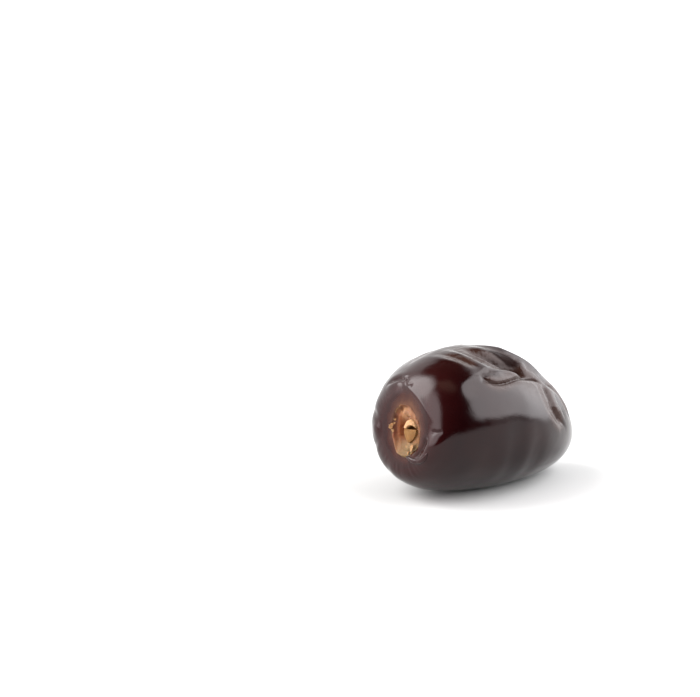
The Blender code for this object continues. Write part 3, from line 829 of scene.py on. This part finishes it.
    def plug(self) -> Surface:
        """The stub of the stalk: a barrel with a drop-shaped crown and a dark slot under a hood.

        Rows run from the middle of the crown out to its rim and down the barrel. With (p, q)
        the place on the crown, the slot lies between a straight sill and the arch
        q = sill + slot_tall (1 - (p - slot_side)^2)^0.8.
        """
        angle = np.linspace(0, 2 * math.pi, self.plug_columns, endpoint=False)
        crown_rows = int(0.66 * self.plug_rows)
        crown = np.linspace(0, 1, crown_rows + 1)[1:]
        barrel = np.linspace(0, 1, self.plug_rows - crown_rows + 1)[1:]
        spread = np.concatenate([crown, 1 + 0.04 * barrel])
        drop = np.concatenate([0 * crown, barrel])
        spread, turn = np.repeat(spread, self.plug_columns), np.tile(angle, self.plug_rows)
        drop = np.repeat(drop, self.plug_columns)
        spokes = np.stack([5 * np.cos(turn), 5 * np.sin(turn), 0.5 * drop], -1)
        fibre = LatticeNoise(51).at(spokes, 0.5) + 0.6 * LatticeNoise(52).at(spokes, 0.22)
        taper = 1 - 0.42 * np.clip(-np.cos(turn), 0, 1) ** 1.5
        width = spread * (1 + 0.03 * fibre * ease(spread, 0.5, 1.0))
        p, q = self.plug_wide * taper * width * np.sin(turn), self.plug_tall * width * np.cos(turn)
        dome = self.plug_height * (1 - 0.14 * np.minimum(spread, 1) ** 3)
        dome = dome + 0.02 * fibre * ease(spread, 0.2, 0.9)
        sill = self.slot_up + 0.12 * p
        arch = sill + self.slot_tall * np.clip(1 - (p - self.slot_side) ** 2, 0, 1) ** 0.8
        slot = ease(q - sill, -0.05, 0.07) * ease(arch - q, -0.05, 0.1)
        hood = self.hood_height * ease(q - arch, -0.05, 0.25) * ease(spread, 1.02, 0.8)
        face = 0.035 * LatticeNoise(55).layered(np.stack([p, 0.3 * q, 0 * p], -1), 0.4)
        height = (dome + hood + face - self.slot_depth * slot) * (1 - drop) - 0.15 * drop
        side, up = self.plug_side + p, self.plug_up + q
        floor = self.fruit.dish_floor(side, up)
        side = np.concatenate([[self.plug_side], side, [self.plug_side]])
        up = np.concatenate([[self.plug_up], up, [self.plug_up]])
        low = self.fruit.dish_floor(side[:1], up[:1])
        height = np.concatenate([low + height[:1], floor + height, low - 0.15])
        marks = {
            # Where painted shade darkens the slot.
            "painted_slot_shade": np.concatenate([slot[:1], slot * (1 - drop), [0.0]]),
            "hood": np.concatenate([[0.0], ease(q - arch, 0.0, 0.2) * (1 - drop), [0.0]]),
        }
        faces = ball_faces(self.plug_rows, self.plug_columns)
        return Surface("calyx_plug", self.settle(side, up, height), faces, marks)

    def skin_curl(self) -> Surface:
        """The torn edge of the skin below the scar, rolled out into a glossy lip.

        A path along the skin is offset outwards and carried by an oval section, which
        swells from nothing at its ends as the root of sin.
        """
        rows, columns = 70, 28
        path = self.fruit.smooth_path(CURL_PATH, rows)
        arc, angle = path[:, 0], np.radians(path[:, 1])
        line = self.fruit.skin(arc, angle)[0]
        normal = self.fruit.outward(arc, angle)
        ahead = np.gradient(line, axis=0)
        across = np.cross(normal, ahead)
        across /= np.linalg.norm(across, axis=1, keepdims=True)
        t = np.linspace(0, 1, rows)
        swell = np.sqrt(np.clip(np.sin(math.pi * np.clip(t, 0.004, 0.996)), 0, 1))
        turn = np.linspace(0, 2 * math.pi, columns, endpoint=False)
        wide, high = CURL_WIDTH / 2 * swell[:, None], CURL_HEIGHT * swell[:, None]
        offset = wide[..., None] * np.cos(turn)[:, None] * across[:, None]
        offset = offset + (high * (0.2 + np.sin(turn)))[..., None] * normal[:, None]
        points = (line[:, None] + offset).reshape(-1, 3)
        points = np.vstack([points[:columns].mean(0), points, points[-columns:].mean(0)])
        even = {"sunken": 0.0, "leathery": 0.0, "scar": 3.0, "painted_shade": 0.0}
        marks = {name: np.full(len(points), value) for name, value in even.items()}
        return Surface("skin_curl", self.placement.settle(points), ball_faces(rows, columns), marks)

    def flake(self, name: str, spec: "Flake", seed: int) -> Surface:
        """One loose flake: a curled leaf of dry tissue, closed, thickest in its middle.

        Across t from -1 to 1 it curls up as a circular arc, along s from 0 to 1 it lifts off
        the ring, and its outline narrows to a torn tip.

        Args:
            name: name of the piece.
            spec: its place, size and curl.
            seed: seed of its crumples.

        Returns:
            The closed surface, metres.
        """
        rows, columns = 26, 40
        s = np.repeat(np.linspace(0, 1, rows), columns)
        around = np.tile(np.linspace(0, 2 * math.pi, columns, endpoint=False), rows)
        t, over = np.cos(around), np.sin(around)
        torn = 0.22 * LatticeNoise(seed).at(np.stack([3 * s, t, 0 * s], -1), 0.35)
        half = 0.5 * spec.width * np.sqrt(np.clip(1 - (2 * s - 1) ** 4, 0.0, 1)) * (1 - 0.35 * s) * (1 + torn)
        bend = spec.curl * t
        radius = half / max(abs(spec.curl), 0.05)
        across = radius * np.sin(bend)
        lift = radius * (1 - np.cos(bend)) + spec.lift * s**1.6
        lift = lift + 0.06 * LatticeNoise(seed + 1).at(np.stack([4 * s, t, 0 * s], -1), 0.5)
        lift = lift + 0.5 * spec.thick * over * np.sqrt(np.clip(1 - (2 * s - 1) ** 6, 0, 1))
        along = spec.length * (s - 0.5)
        turn = math.radians(spec.turn)
        side = spec.side + along * math.sin(turn) + across * math.cos(turn)
        up = spec.up + along * math.cos(turn) - across * math.sin(turn)
        height = self.fruit.dish_floor(side, up) + spec.height + lift
        ends = [0, -1]
        poles = [np.mean(v.reshape(rows, columns)[e]) for e in ends for v in (side, up, height)]
        side = np.concatenate([poles[0:1], side, poles[3:4]])
        up = np.concatenate([poles[1:2], up, poles[4:5]])
        height = np.concatenate([poles[2:3], height, poles[5:6]])
        marks = {"painted_slot_shade": 0 * side, "hood": 0.5 + 0 * side}
        return Surface(name, self.settle(side, up, height), ball_faces(rows, columns), marks)


@dataclass(frozen=True)
class Flake:
    """Place and form of one loose flake.

    Attributes:
        side, up: its middle in the stem end.
        height: its root over the dish floor.
        length, width, thick: its size.
        turn: direction of its length, 0 up and 90 towards -Y.
        curl: half the angle, in radians, that it curls through.
        lift: how far its tip stands off.
    """

    side: float
    up: float
    height: float
    length: float
    width: float
    thick: float
    turn: float
    curl: float
    lift: float


FLAKES = {
    "flake_far_upper": Flake(-2.0, 1.15, 0.45, 0.4, 0.3, 0.10, 50, 0.9, 0.1),
    "flake_far": Flake(-2.4, 0.1, 0.4, 0.95, 0.6, 0.12, 12, 1.2, 0.15),
    "flake_far_arm": Flake(-2.1, 0.55, 0.45, 0.5, 0.34, 0.10, 55, 0.9, 0.1),
    "flake_far_lower": Flake(-2.15, -0.55, 0.4, 0.5, 0.34, 0.10, 140, 0.9, 0.1),
    "flake_low": Flake(1.2, -2.4, 0.5, 0.9, 0.45, 0.12, 80, 0.8, 0.12),
    "flake_low_near": Flake(2.75, -2.3, 0.75, 1.0, 0.95, 0.16, 140, 0.3, 0.05),
    "flake_low_edge": Flake(1.8, -3.2, 0.35, 0.6, 0.4, 0.10, 130, 0.8, 0.15),
    "flake_top": Flake(0.95, 2.45, 0.4, 0.6, 0.28, 0.10, 60, 0.8, 0.12),
}

CURL_PATH = ((6.6, 110), (6.5, 120), (6.1, 131), (5.4, 142), (4.7, 151), (4.2, 160))
CURL_WIDTH = 0.9
CURL_HEIGHT = 0.34


def to_linear(hexadecimal: str) -> tuple[float, float, float, float]:
    """An sRGB hex colour, such as "#2a1210", as linear RGBA."""
    parts = [int(hexadecimal[i : i + 2], 16) / 255 for i in (1, 3, 5)]
    linear = [p / 12.92 if p <= 0.04045 else ((p + 0.055) / 1.055) ** 2.4 for p in parts]
    return (*linear, 1.0)


def add_node(tree: Tree, kind: str, links: dict | None = None, **settings) -> bpy.types.Node:
    """Adds a node with its settings and its links.

    Args:
        tree: node tree.
        kind: Blender's name of the node type.
        links: input name or number to a value, or to an output socket.
        **settings: attributes of the node.

    Returns:
        The new node.
    """
    node = tree.nodes.new(kind)
    for name, value in settings.items():
        setattr(node, name, value)
    for name, value in (links or {}).items():
        if isinstance(value, Socket):
            tree.links.new(value, node.inputs[name])
        else:
            node.inputs[name].default_value = value
    return node


def add_ramp(tree: Tree, factor: Socket, stops: dict[float, str]) -> Socket:
    """Adds a colour ramp.

    Args:
        tree: node tree.
        factor: socket that drives it.
        stops: position to sRGB hex colour.

    Returns:
        Its colour output.
    """
    node = add_node(tree, "ShaderNodeValToRGB", {"Fac": factor})
    elements = node.color_ramp.elements
    while len(elements) < len(stops):
        elements.new(0.5)
    for element, (position, colour) in zip(elements, sorted(stops.items())):
        element.position, element.color = position, to_linear(colour)
    return node.outputs["Color"]


def lay_over(tree: Tree, colour: Socket, layers: tuple[tuple[Socket, str | Socket], ...]) -> Socket:
    """Lays colours over a colour, each by its own mask.

    Args:
        tree: node tree.
        colour: the lowest colour.
        layers: pairs of a mask, 0 to 1, and an sRGB hex colour or a colour socket.

    Returns:
        The colour with all layers on it.
    """
    for mask, layer in layers:
        paint = to_linear(layer) if isinstance(layer, str) else layer
        colour = add_node(
            tree, "ShaderNodeMix", {"Factor": mask, 6: colour, 7: paint}, data_type="RGBA"
        ).outputs[2]
    return colour


def new_material(name: str) -> tuple[bpy.types.Material, Tree, bpy.types.Node]:
    """A new material with its tree and its Principled BSDF."""
    material = bpy.data.materials.new(name)
    material.use_nodes = True
    return material, material.node_tree, material.node_tree.nodes["Principled BSDF"]


@dataclass(frozen=True)
class DateSkin:
    """Skin of a ripe, soft date: thin, taut and sticky with sugar, so it shines like lacquer.

    The flesh under it is nearly black-brown with a wine tint. It turns wine red and then
    amber where the skin ends at the scar. Folded skin is a little browner, a faint bloom
    dulls the shine in patches, and painted shade darkens the deep pocket of the top and the
    deepest creases and takes away most of their reflection.
    """

    body: str = "#100203"
    warm: str = "#180404"
    fold: str = "#2c1a14"
    # Painted shade for the deep pocket and the deepest creases.
    pocket: str = "#170907"
    blush: str = "#300e0d"
    wine: str = "#2c0e0a"
    rust: str = "#3a1d13"
    amber: str = "#50301f"
    patch_size: float = 6.0
    grain_size: float = 0.22
    crumple_size: float = 0.9

    def make(self) -> bpy.types.Material:
        """Builds the node material.

        Returns:
            The material: colour from slow patches, folds and the scar's glow, and a
            bump from skin grain of about a fifth of a millimetre.
        """
        material, tree, shader = new_material("ripe_date_skin")
        place = add_node(tree, "ShaderNodeTexCoord").outputs["Object"]
        patches = add_node(
            tree, "ShaderNodeTexNoise",
            {"Vector": place, "Scale": 1 / (self.patch_size * MILLIMETRE), "Detail": 4.0, "Roughness": 0.6},
        )
        colour = add_ramp(tree, patches.outputs["Fac"], {0.35: self.body, 0.75: self.warm})
        sunken = add_node(tree, "ShaderNodeAttribute", attribute_name="sunken").outputs["Fac"]
        leathery = add_node(tree, "ShaderNodeAttribute", attribute_name="leathery").outputs["Fac"]
        deep = add_node(tree, "ShaderNodeMath", {0: sunken, 1: leathery}, operation="MAXIMUM")
        painted_shade = add_node(tree, "ShaderNodeAttribute", attribute_name="painted_shade").outputs["Fac"]
        scar = add_node(tree, "ShaderNodeAttribute", attribute_name="scar").outputs["Fac"]
        around = add_node(tree, "ShaderNodeMapRange", {"Value": scar, 1: 0.5, 2: 6.0, 3: 0.8, 4: 0.0})
        uneven = add_node(
            tree, "ShaderNodeTexNoise", {"Vector": place, "Scale": 1 / (1.3 * MILLIMETRE), "Detail": 3.0}
        )
        ragged = add_node(
            tree, "ShaderNodeMath", {0: uneven.outputs["Fac"], 1: -1.2, 2: scar}, operation="MULTIPLY_ADD"
        )
        glow = add_node(
            tree, "ShaderNodeMapRange", {"Value": ragged.outputs[0], 1: -0.7, 2: 1.5, 3: 1.0, 4: 0.0}
        )
        halo = add_ramp(
            tree, glow.outputs[0], {0.1: self.body, 0.45: self.wine, 0.75: self.rust, 1.0: self.amber}
        )
        mask = add_node(
            tree, "ShaderNodeMapRange", {"Value": glow.outputs[0], 1: 0.0, 2: 0.4, 3: 0.0, 4: 1.0}
        )
        # The pocket colour lays painted shade over the deep pocket and the deepest creases.
        layers = (
            (deep.outputs[0], self.fold), (painted_shade, self.pocket), (around.outputs[0], self.blush),
            (mask.outputs[0], halo),
        )
        tree.links.new(lay_over(tree, colour, layers), shader.inputs["Base Color"])
        haze = add_node(
            tree, "ShaderNodeTexNoise", {"Vector": place, "Scale": 1 / (2.6 * MILLIMETRE), "Detail": 5.0}
        )
        shine = add_node(
            tree, "ShaderNodeMapRange", {"Value": haze.outputs["Fac"], 1: 0.35, 2: 0.7, 3: 0.09, 4: 0.17}
        )
        rough = add_node(
            tree, "ShaderNodeMath", {0: deep.outputs[0], 1: 0.1, 2: shine.outputs[0]},
            operation="MULTIPLY_ADD",
        )
        tree.links.new(rough.outputs[0], shader.inputs["Roughness"])
        grain = add_node(
            tree, "ShaderNodeTexNoise",
            {"Vector": place, "Scale": 1 / (self.grain_size * MILLIMETRE), "Detail": 3.0, "Roughness": 0.6},
        )
        bump = add_node(
            tree, "ShaderNodeBump",
            {"Height": grain.outputs["Fac"], "Distance": 0.02 * MILLIMETRE, "Strength": 0.5},
        )
        creased = add_node(
            tree, "ShaderNodeTexNoise",
            {
                "Vector": place, "Scale": 1 / (self.crumple_size * MILLIMETRE), "Detail": 3.0,
                "Distortion": 0.6,
            },
        )
        crumple = add_node(
            tree, "ShaderNodeBump",
            {
                "Height": creased.outputs["Fac"], "Distance": 0.1 * MILLIMETRE, "Strength": deep.outputs[0],
                "Normal": bump.outputs[0],
            },
        )
        tree.links.new(crumple.outputs[0], shader.inputs["Normal"])
        # Painted shade also cuts the reflection in the deep pocket and the deepest creases.
        gloss = add_node(tree, "ShaderNodeMapRange", {"Value": painted_shade, 1: 0.0, 2: 1.0, 3: 0.42, 4: 0.03})
        tree.links.new(gloss.outputs[0], shader.inputs["Specular IOR Level"])
        shader.inputs["IOR"].default_value = 1.4
        shader.inputs["Specular Tint"].default_value = (1.0, 0.94, 0.94, 1.0)
        return material


@dataclass(frozen=True)
class WornRing:
    """Worn, half dry tissue round the stalk: waxy tan, with amber brown painted shade in the gap by the plug,
    rosy at the far rim.
    """

    upper: str = "#8c674a"
    near: str = "#86614a"
    lower: str = "#766046"
    shade: str = "#58381f"
    # Amber brown painted shade of the gap beside the plug.
    painted_gap_shade: str = "#4a1e03"
    blush: str = "#7a4834"
    rim: str = "#4e3026"

    def make(self) -> bpy.types.Material:
        """Builds the node material.

        Returns:
            The material: tan by mottle, darker where the relief is low as painted shade, with the marks
            for the gap (painted shade), blush and reach laying the deeper colours over it.
        """
        material, tree, shader = new_material("worn_calyx_tissue")
        place = add_node(tree, "ShaderNodeTexCoord").outputs["Object"]
        marks = {
            name: add_node(tree, "ShaderNodeAttribute", attribute_name=name).outputs["Fac"]
            for name in ("relief", "reach", "near", "painted_gap_shade", "blush", "lower")
        }
        mottle = add_node(
            tree, "ShaderNodeTexNoise", {"Vector": place, "Scale": 1 / (0.8 * MILLIMETRE), "Detail": 3.0}
        )
        level = add_node(
            tree, "ShaderNodeMath", {0: mottle.outputs["Fac"], 1: 0.4, 2: marks["relief"]},
            operation="MULTIPLY_ADD",
        )
        # Darker where the ring is low, in its trench and at its thin edge: painted shade, mixed with random
        # mottle.
        colour = add_ramp(tree, level.outputs[0], {0.2: self.shade, 0.5: self.upper})
        border = add_node(
            tree, "ShaderNodeMapRange", {"Value": marks["reach"], 1: 0.78, 2: 1.0, 3: 0.0, 4: 0.7}
        )
        tint = add_node(
            tree, "ShaderNodeMath", {0: marks["lower"], 1: -1.0, 2: 1.0}, operation="MULTIPLY_ADD"
        )
        edging = add_node(
            tree, "ShaderNodeMath", {0: border.outputs[0], 1: tint.outputs[0]}, operation="MULTIPLY"
        )
        layers = (
            (marks["near"], self.near), (marks["lower"], self.lower), (marks["painted_gap_shade"], self.painted_gap_shade),
            (marks["blush"], self.blush), (edging.outputs[0], self.rim),
        )
        tree.links.new(lay_over(tree, colour, layers), shader.inputs["Base Color"])
        fine = add_node(
            tree, "ShaderNodeTexNoise", {"Vector": place, "Scale": 1 / (0.14 * MILLIMETRE), "Detail": 3.0}
        )
        bump = add_node(
            tree, "ShaderNodeBump",
            {"Height": fine.outputs["Fac"], "Distance": 0.025 * MILLIMETRE, "Strength": 0.6},
        )
        tree.links.new(bump.outputs[0], shader.inputs["Normal"])
        shader.inputs["Roughness"].default_value = 0.5
        shader.inputs["Specular IOR Level"].default_value = 0.05
        shader.inputs["Subsurface Weight"].default_value = 0.3
        shader.inputs["Subsurface Radius"].default_value = (1.0, 0.45, 0.2)
        shader.inputs["Subsurface Scale"].default_value = 0.5 * MILLIMETRE
        return material


@dataclass(frozen=True)
class StalkFibre:
    """Dry, bundled fibre of the stalk: tan, matt and striped, palest on the hood, with painted shade in the
    slot.
    """

    cream: str = "#7d5b36"
    straw: str = "#684928"
    pale: str = "#b08a66"
    # Painted shade of the slot.
    painted_slot_shade: str = "#4a2a0c"

    def make(self) -> bpy.types.Material:
        """Builds the node material: straw stripes over cream, pale by the mark hood, darkened by painted
        shade in the slot.
        """
        material, tree, shader = new_material("dry_stalk_fibre")
        place = add_node(tree, "ShaderNodeTexCoord").outputs["Object"]
        long = add_node(tree, "ShaderNodeMapping", {"Vector": place, "Scale": (0.4, 1.0, 0.35)})
        streak = add_node(
            tree, "ShaderNodeTexNoise",
            {"Vector": long.outputs[0], "Scale": 1 / (0.25 * MILLIMETRE), "Detail": 4.0, "Roughness": 0.65},
        )
        colour = add_ramp(tree, streak.outputs["Fac"], {0.3: self.straw, 0.65: self.cream})
        hood = add_node(tree, "ShaderNodeAttribute", attribute_name="hood").outputs["Fac"]
        painted_slot_shade = add_node(tree, "ShaderNodeAttribute", attribute_name="painted_slot_shade").outputs["Fac"]
        dark = add_node(tree, "ShaderNodeMapRange", {"Value": painted_slot_shade, 1: 0.15, 2: 0.7, 3: 0.0, 4: 1.0})
        layers = ((hood, self.pale), (dark.outputs[0], self.painted_slot_shade))
        tree.links.new(lay_over(tree, colour, layers), shader.inputs["Base Color"])
        bump = add_node(
            tree, "ShaderNodeBump",
            {"Height": streak.outputs["Fac"], "Distance": 0.03 * MILLIMETRE, "Strength": 0.6},
        )
        tree.links.new(bump.outputs[0], shader.inputs["Normal"])
        shader.inputs["Roughness"].default_value = 0.6
        shader.inputs["Specular IOR Level"].default_value = 0.1
        shader.inputs["Subsurface Weight"].default_value = 0.25
        shader.inputs["Subsurface Radius"].default_value = (1.0, 0.55, 0.3)
        shader.inputs["Subsurface Scale"].default_value = 0.4 * MILLIMETRE
        return material


@dataclass(frozen=True)
class StudioPaper:
    """Smooth, matt white paper of a studio sweep."""

    shade: str = "#bcbcbb"

    def make(self) -> bpy.types.Material:
        """Builds the node material: one shade with a barely visible tooth."""
        material, tree, shader = new_material("white_studio_paper")
        place = add_node(tree, "ShaderNodeTexCoord").outputs["Object"]
        tooth = add_node(tree, "ShaderNodeTexNoise", {"Vector": place, "Scale": 900.0, "Detail": 2.0})
        bump = add_node(
            tree, "ShaderNodeBump",
            {"Height": tooth.outputs["Fac"], "Distance": 0.02 * MILLIMETRE, "Strength": 0.2},
        )
        tree.links.new(bump.outputs[0], shader.inputs["Normal"])
        shader.inputs["Base Color"].default_value = to_linear(self.shade)
        shader.inputs["Roughness"].default_value = 0.9
        shader.inputs["Specular IOR Level"].default_value = 0.2
        return material


@dataclass(frozen=True)
class Softbox:
    """A bright patch of the studio's walls, a rectangle with round corners as seen from the fruit.

    Attributes:
        azimuth: its middle, 0 at -Y and 90 at +X.
        elevation: its middle over the horizon.
        width, height: its size as seen from the fruit.
        corner: radius of its corners.
        soft: width of its faded border.
        strength: its brightness, 1 for white.
        lean: how far it is turned clockwise.
        colour: its tint.
    """

    azimuth: float
    elevation: float
    width: float
    height: float
    corner: float
    soft: float
    strength: float
    lean: float = 0.0
    colour: str = "#ffffff"


@dataclass(frozen=True)
class Studio:
    """Floor, light and camera.

    Large softboxes stand beyond both ends of the fruit, with a low strip near the horizon, a
    wide dim wall behind it and a weak warm box overhead. The side that the camera stands on is
    dark, which draws the dark band down the front of the fruit. A soft fill lights only matt
    surfaces and keeps shadows pale.
    """

    floor_radius: float = 2.5
    dim: float = 0.006
    fill: float = 0.7
    boxes: tuple[Softbox, ...] = (
        Softbox(46, 36, 82, 60, 22, 4, 6.0, 12, "#fdfdff"),
        Softbox(78, 21, 36, 46, 8, 4, 4.6, 10, "#fdfdff"),
        Softbox(74, 4, 100, 15, 4, 4, 1.0),
        Softbox(100, 30, 50, 66, 20, 16, 2.6, 8, "#fdfdff"),
        Softbox(-134, 42, 56, 50, 18, 18, 9.5),
        Softbox(-112, 30, 84, 52, 24, 16, 4.6, 0, "#fff8fa"),
        Softbox(160, 19, 130, 62, 16, 12, 1.75),
        Softbox(-70, 80, 120, 22, 10, 14, 1.0, 0, "#e8c8b0"),
    )

    def floor(self) -> bpy.types.Object:
        """A round, flat floor just under the fruit."""
        turn = np.linspace(0, 2 * math.pi, 96, endpoint=False)
        ring = self.floor_radius * np.stack([np.cos(turn), np.sin(turn), 0 * turn], -1)
        mesh = bpy.data.meshes.new("studio_floor")
        mesh.from_pydata(ring.tolist(), [], [list(range(len(turn)))])
        mesh.materials.append(StudioPaper().make())
        made = bpy.data.objects.new("studio_floor", mesh)
        bpy.context.scene.collection.objects.link(made)
        return made

    def light(self) -> bpy.types.World:
        """A world as bright in each direction as the brightest softbox there.

        Returns:
            The world. A camera ray that passes the floor's edge sees plain white.
        """
        world = bpy.data.worlds.new("studio_light")
        bpy.context.scene.world = world
        world.use_nodes = True
        tree = world.node_tree
        direction = add_node(tree, "ShaderNodeTexCoord").outputs["Generated"]
        path = add_node(tree, "ShaderNodeLightPath")
        fill = add_node(
            tree, "ShaderNodeMath", {0: path.outputs["Is Diffuse Ray"], 1: self.fill, 2: self.dim},
            operation="MULTIPLY_ADD",
        )
        total = add_node(tree, "ShaderNodeCombineXYZ", dict.fromkeys(range(3), fill.outputs[0])).outputs[0]
        for box in self.boxes:
            total = self.add_box(tree, direction, box, total)
        seen = path.outputs["Is Camera Ray"]
        white = add_node(tree, "ShaderNodeMix", {"Factor": seen, 6: total, 7: (1, 1, 1, 1)}, data_type="RGBA")
        tree.links.new(white.outputs[2], tree.nodes["Background"].inputs["Color"])
        return world

    @staticmethod
    def add_box(
        tree: Tree, direction: Socket, box: Softbox, total: Socket
    ) -> Socket:
        """Lays one softbox over the light so far, the brighter of the two.

        With (a, e) the azimuth and elevation from its middle, turned by the lean, the
        distance outside the core is |max(|(a, e)| - half size + corner, 0)| - corner.

        Args:
            tree: the world's node tree.
            direction: the direction looked in.
            box: the softbox.
            total: light of the boxes before it.

        Returns:
            Light with this box.
        """
        turned = add_node(
            tree, "ShaderNodeMapping",
            {"Vector": direction, "Rotation": (0.0, 0.0, -math.radians(box.azimuth))},
        )
        axes = add_node(tree, "ShaderNodeSeparateXYZ", {0: turned.outputs[0]})
        ahead = add_node(tree, "ShaderNodeMath", {0: axes.outputs["Y"], 1: -1.0}, operation="MULTIPLY")
        azimuth = add_node(
            tree, "ShaderNodeMath", {0: axes.outputs["X"], 1: ahead.outputs[0]}, operation="ARCTAN2"
        )
        elevation = add_node(tree, "ShaderNodeMath", {0: axes.outputs["Z"]}, operation="ARCSINE")
        above = add_node(
            tree, "ShaderNodeMath", {0: elevation.outputs[0], 1: math.radians(box.elevation)},
            operation="SUBTRACT",
        )
        place = add_node(tree, "ShaderNodeCombineXYZ", {0: azimuth.outputs[0], 1: above.outputs[0]})
        place = add_node(
            tree, "ShaderNodeMapping",
            {"Vector": place.outputs[0], "Rotation": (0.0, 0.0, math.radians(box.lean))},
        )
        size = add_node(tree, "ShaderNodeVectorMath", {0: place.outputs[0]}, operation="ABSOLUTE")
        core = (math.radians(box.width / 2 - box.corner), math.radians(box.height / 2 - box.corner), 1.0)
        outside = add_node(tree, "ShaderNodeVectorMath", {0: size.outputs[0], 1: core}, operation="SUBTRACT")
        outside = add_node(
            tree, "ShaderNodeVectorMath", {0: outside.outputs[0], 1: (0, 0, 0)}, operation="MAXIMUM"
        )
        away = add_node(tree, "ShaderNodeVectorMath", {0: outside.outputs[0]}, operation="LENGTH")
        near, far = (math.radians(box.corner + sign * box.soft / 2) for sign in (-1, 1))
        mask = add_node(
            tree, "ShaderNodeMapRange", {"Value": away.outputs["Value"], 1: near, 2: far, 3: 1.0, 4: 0.0},
            interpolation_type="SMOOTHSTEP",
        )
        colour = tuple(box.strength * c for c in to_linear(box.colour)[:3])
        glow = add_node(
            tree, "ShaderNodeVectorMath", {0: colour, "Scale": mask.outputs[0]}, operation="SCALE"
        )
        brighter = add_node(
            tree, "ShaderNodeVectorMath", {0: total, 1: glow.outputs[0]}, operation="MAXIMUM"
        )
        return brighter.outputs[0]


@dataclass(frozen=True)
class PhotoCamera:
    """The camera, at the photograph's viewing angle.

    Attributes:
        azimuth, elevation: where it stands as seen from the fruit, 0 at -Y.
        distance: how far from the target, metres.
        focal: focal length on a 36 mm wide sensor, mm.
        target: the point that the azimuth and elevation are measured at, metres.
        target_pixel: where that point falls in the 700 by 697 frame.
    """

    azimuth: float = -40.0
    elevation: float = 13.0
    distance: float = 0.305
    focal: float = 100.0
    sensor: float = 36.0
    target: tuple[float, float, float] = (0.0, 0.0, 0.0115)
    target_pixel: tuple[float, float] = (482.0, 410.5)

    def make(self) -> bpy.types.Object:
        """Makes the camera and sets it as the scene's.

        It looks along the line from its azimuth and elevation, moved sideways so that the
        target falls on its pixel without any lens shift.
        """
        a, e = math.radians(self.azimuth), math.radians(self.elevation)
        right = np.array([math.cos(a), math.sin(a), 0.0])
        back = np.array([math.sin(a) * math.cos(e), -math.cos(a) * math.cos(e), math.sin(e)])
        up = np.cross(back, right)
        metre_per_pixel = self.distance * self.sensor / self.focal / PHOTO_WIDTH
        across = (self.target_pixel[0] - PHOTO_WIDTH / 2) * metre_per_pixel
        down = (self.target_pixel[1] - PHOTO_HEIGHT / 2) * metre_per_pixel
        place = np.array(self.target) + back * self.distance - right * across + up * down
        data = bpy.data.cameras.new("photo_camera")
        data.lens, data.sensor_width, data.clip_start = self.focal, self.sensor, 0.005
        made = bpy.data.objects.new("photo_camera", data)
        bpy.context.scene.collection.objects.link(made)
        matrix = Matrix(np.column_stack([right, up, back]).tolist()).to_4x4()
        matrix.translation = place.tolist()
        made.matrix_world = matrix
        bpy.context.scene.camera = made
        return made


def main() -> None:
    """Builds the fruit, the calyx remnant, the studio and the camera, in that order."""
    logging.basicConfig(level=logging.INFO, format="%(name)s: %(message)s")
    bpy.context.scene.view_settings.view_transform = "Standard"
    fruit = Fruit()
    skin, placement = fruit.build()
    skin_finish = DateSkin().make()
    skin.piece(skin_finish, Slot.SKIN, Node.FRUIT)
    remnant = Remnant(fruit, placement)
    tissue, fibre = WornRing().make(), StalkFibre().make()
    remnant.ring().piece(tissue, Slot.CALYX, Node.REMNANT)
    remnant.plug().piece(fibre, Slot.CALYX, Node.REMNANT)
    remnant.skin_curl().piece(skin_finish, Slot.SKIN, Node.FRUIT)
    for seed, (name, spec) in enumerate(FLAKES.items(), start=60):
        remnant.flake(name, spec, 3 * seed).piece(fibre, Slot.CALYX, Node.REMNANT)
    studio = Studio()
    studio.floor()
    studio.light()
    PhotoCamera().make()


if __name__ == "__main__":
    main()
